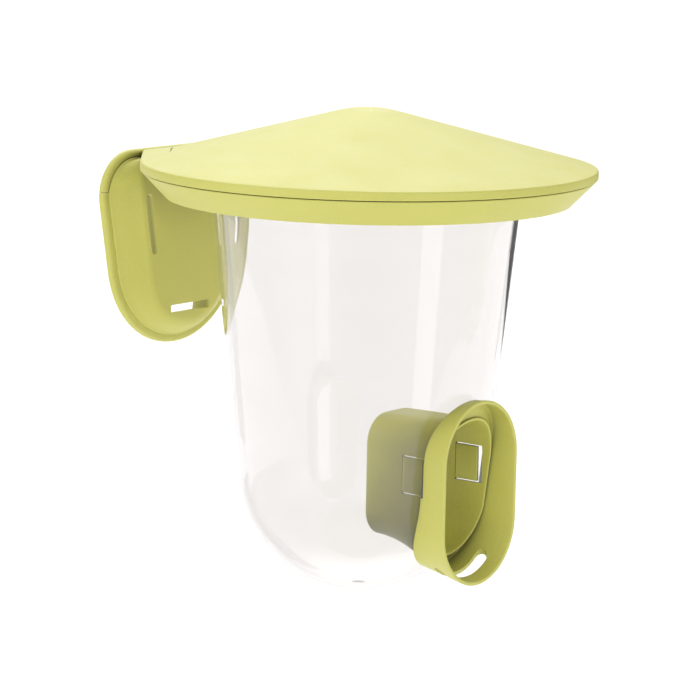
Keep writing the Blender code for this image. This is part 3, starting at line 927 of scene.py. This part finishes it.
def build_tongue(name, side, body, node):
    """A plate that follows the tube's side wall, with rounded edges."""
    low, high = TONGUE_Z
    section = rounded([(0, low), (0, high), (TUBE_WALL, high), (TUBE_WALL, low)], 0.5 * MM, 3)
    edge = 0.4 * MM
    rings = []
    stations = [(TONGUE_ROOT, edge), (TONGUE_ROOT + edge, 0)]
    stations += [(TONGUE_ROOT + (TONGUE_TIP - TONGUE_ROOT) * k / 6, 0) for k in range(1, 6)]
    stations += [(TONGUE_TIP - edge, 0), (TONGUE_TIP, edge)]
    for forward, shrink in stations:
        ring = []
        for depth, z in section:
            depth = min(max(depth, shrink), TUBE_WALL - shrink)
            z = min(max(z, low + shrink), high - shrink)
            ring.append((side * (tube_side(forward, z) - depth), AXIS_Y - forward, z))
        rings.append(ring)
    return show(skin(name, rings, GREEN), body, node)


# ---- studio ----------------------------------------------------------------------------------------

CAMERA_AZIMUTH = math.radians(-51.5)
FLOOR_DROP = 350 * MM


def build_floor():
    """A plain pale floor, far enough below that the feeder hangs clear of it."""
    mesh = bmesh.new()
    bmesh.ops.create_grid(mesh, x_segments=2, y_segments=2, size=12)
    floor = new_object("floor", mesh)
    floor.location.z = HOPPER_LOW.z - FLOOR_DROP
    n = Nodes("floor")
    shade = n.spread(n.noise(3, 2), "Fac", 0.3, 0.7, 0.9, 0.92)
    n.link(shade, "Result", n.shader, "Base Color")
    n.shader.inputs["Roughness"].default_value = 0.9
    n.shader.inputs["Emission Color"].default_value = (1, 1, 1, 1)
    n.shader.inputs["Emission Strength"].default_value = 0.1
    floor.data.materials.append(n.material)


def reflected_panel(name, turn, distance, span, heights, glow):
    """A panel seen only in reflections and refractions. It turns from the camera, positive to the right."""
    azimuth = CAMERA_AZIMUTH + math.radians(turn)
    out = Vector((math.sin(azimuth), -math.cos(azimuth), 0))
    along = Vector((math.cos(azimuth), math.sin(azimuth), 0))
    middle = Vector((0, AXIS_Y, 0)) + out * distance
    mesh = bmesh.new()
    (left, right), (low, high) = span, heights
    corners = [(left, low), (right, low), (right, high), (left, high)]
    mesh.faces.new([mesh.verts.new(middle + along * u + Vector((0, 0, z))) for u, z in corners])
    panel = new_object(name, mesh)
    n = Nodes(name)
    n.shader.inputs["Base Color"].default_value = (0, 0, 0, 1)
    n.shader.inputs["Emission Color"].default_value = (1, 1, 1, 1)
    n.shader.inputs["Emission Strength"].default_value = glow
    panel.data.materials.append(n.material)
    panel.visible_camera = panel.visible_diffuse = panel.visible_shadow = False


def build_panels():
    """Two tall lit panels give the tub its upright highlights, and a black one its dark right edge."""
    reflected_panel("strip_left", -58, 1.5, (-0.25, 0.25), (-0.1, 1.4), 2.2)
    reflected_panel("strip_right", 37, 1.5, (-0.15, 0.15), (-0.1, 1.4), 1.8)
    reflected_panel("black_flag", 180, 2.5, (-1.7, -0.62), (-0.5, 1.2), 0)


EVEN_LIGHT = 0.35
LIGHT_SHARPNESS = 8
# Soft lights as (azimuth, elevation, strength). Azimuth 0 is +X and 90 is +Y, both angles in degrees.
BACK_LIGHT = (45, 45, 3.5)
LEFT_LIGHT = (180, 40, 2)
FRONT_LIGHT = (270, 15, 1)


def build_world():
    """A white studio, brighter in some directions. The camera itself sees plain white."""
    world = bpy.data.worlds.new("studio")
    bpy.context.scene.world = world
    world.use_nodes = True
    tree = world.node_tree
    background = tree.nodes["Background"]
    place = tree.nodes.new("ShaderNodeTexCoord")
    total = tree.nodes.new("ShaderNodeValue")
    total.outputs[0].default_value = EVEN_LIGHT
    for azimuth, elevation, strength in (BACK_LIGHT, LEFT_LIGHT, FRONT_LIGHT):
        azimuth, elevation = math.radians(azimuth), math.radians(elevation)
        level = math.cos(elevation)
        direction = (level * math.cos(azimuth), level * math.sin(azimuth), math.sin(elevation))
        facing = tree.nodes.new("ShaderNodeVectorMath")
        facing.operation = "DOT_PRODUCT"
        facing.inputs[1].default_value = direction
        tree.links.new(place.outputs["Generated"], facing.inputs[0])
        previous = facing.outputs["Value"]
        for operation, amount in (("MAXIMUM", 0), ("POWER", LIGHT_SHARPNESS), ("MULTIPLY", strength)):
            step = tree.nodes.new("ShaderNodeMath")
            step.operation = operation
            step.inputs[1].default_value = amount
            tree.links.new(previous, step.inputs[0])
            previous = step.outputs[0]
        added = tree.nodes.new("ShaderNodeMath")
        tree.links.new(total.outputs[0], added.inputs[0])
        tree.links.new(previous, added.inputs[1])
        total = added
    tree.links.new(total.outputs[0], background.inputs["Strength"])
    white = tree.nodes.new("ShaderNodeBackground")
    white.inputs["Color"].default_value = (1, 1, 1, 1)
    background.inputs["Color"].default_value = (1, 1, 1, 1)
    path = tree.nodes.new("ShaderNodeLightPath")
    mixed = tree.nodes.new("ShaderNodeMixShader")
    tree.links.new(path.outputs["Is Camera Ray"], mixed.inputs["Fac"])
    tree.links.new(background.outputs[0], mixed.inputs[1])
    tree.links.new(white.outputs[0], mixed.inputs[2])
    tree.links.new(mixed.outputs[0], tree.nodes["World Output"].inputs["Surface"])


def build_camera():
    """A long lens from the front left, a little above, with the picture turned about one degree."""
    azimuth, elevation, roll = CAMERA_AZIMUTH, math.radians(10.1), math.radians(1.17)
    distance = 1.98
    aim_height, aim_left = 11 * MM, 8.86 * MM
    back = Vector(
        (
            math.sin(azimuth) * math.cos(elevation),
            -math.cos(azimuth) * math.cos(elevation),
            math.sin(elevation),
        )
    )
    axis_point = Vector((0, AXIS_Y, aim_height))
    place = axis_point + back * distance
    level_right = Vector((math.cos(azimuth), math.sin(azimuth), 0))
    aim = axis_point - level_right * aim_left
    forward = (aim - place).normalized()
    right = forward.cross(Vector((0, 0, 1))).normalized()
    up = right.cross(forward)
    right, up = (
        right * math.cos(roll) + up * math.sin(roll),
        up * math.cos(roll) - right * math.sin(roll),
    )
    data = bpy.data.cameras.new("camera")
    data.sensor_width = 36
    data.lens = 154.3
    data.clip_end = 60
    camera = bpy.data.objects.new("camera", data)
    turn = Matrix((right, up, -forward)).transposed().to_4x4()
    camera.matrix_world = Matrix.Translation(place) @ turn
    bpy.context.scene.collection.objects.link(camera)
    bpy.context.scene.camera = camera


build_hopper()
build_collar()
build_roof()
build_bracket()
build_port()
build_tongue("tongue_left", -1, "tongue_left", "port_tongue_left")
build_tongue("tongue_right", 1, "tongue_right", "port_tongue_right")
build_floor()
build_panels()
build_world()
build_camera()
bpy.context.scene.view_settings.view_transform = "Standard"
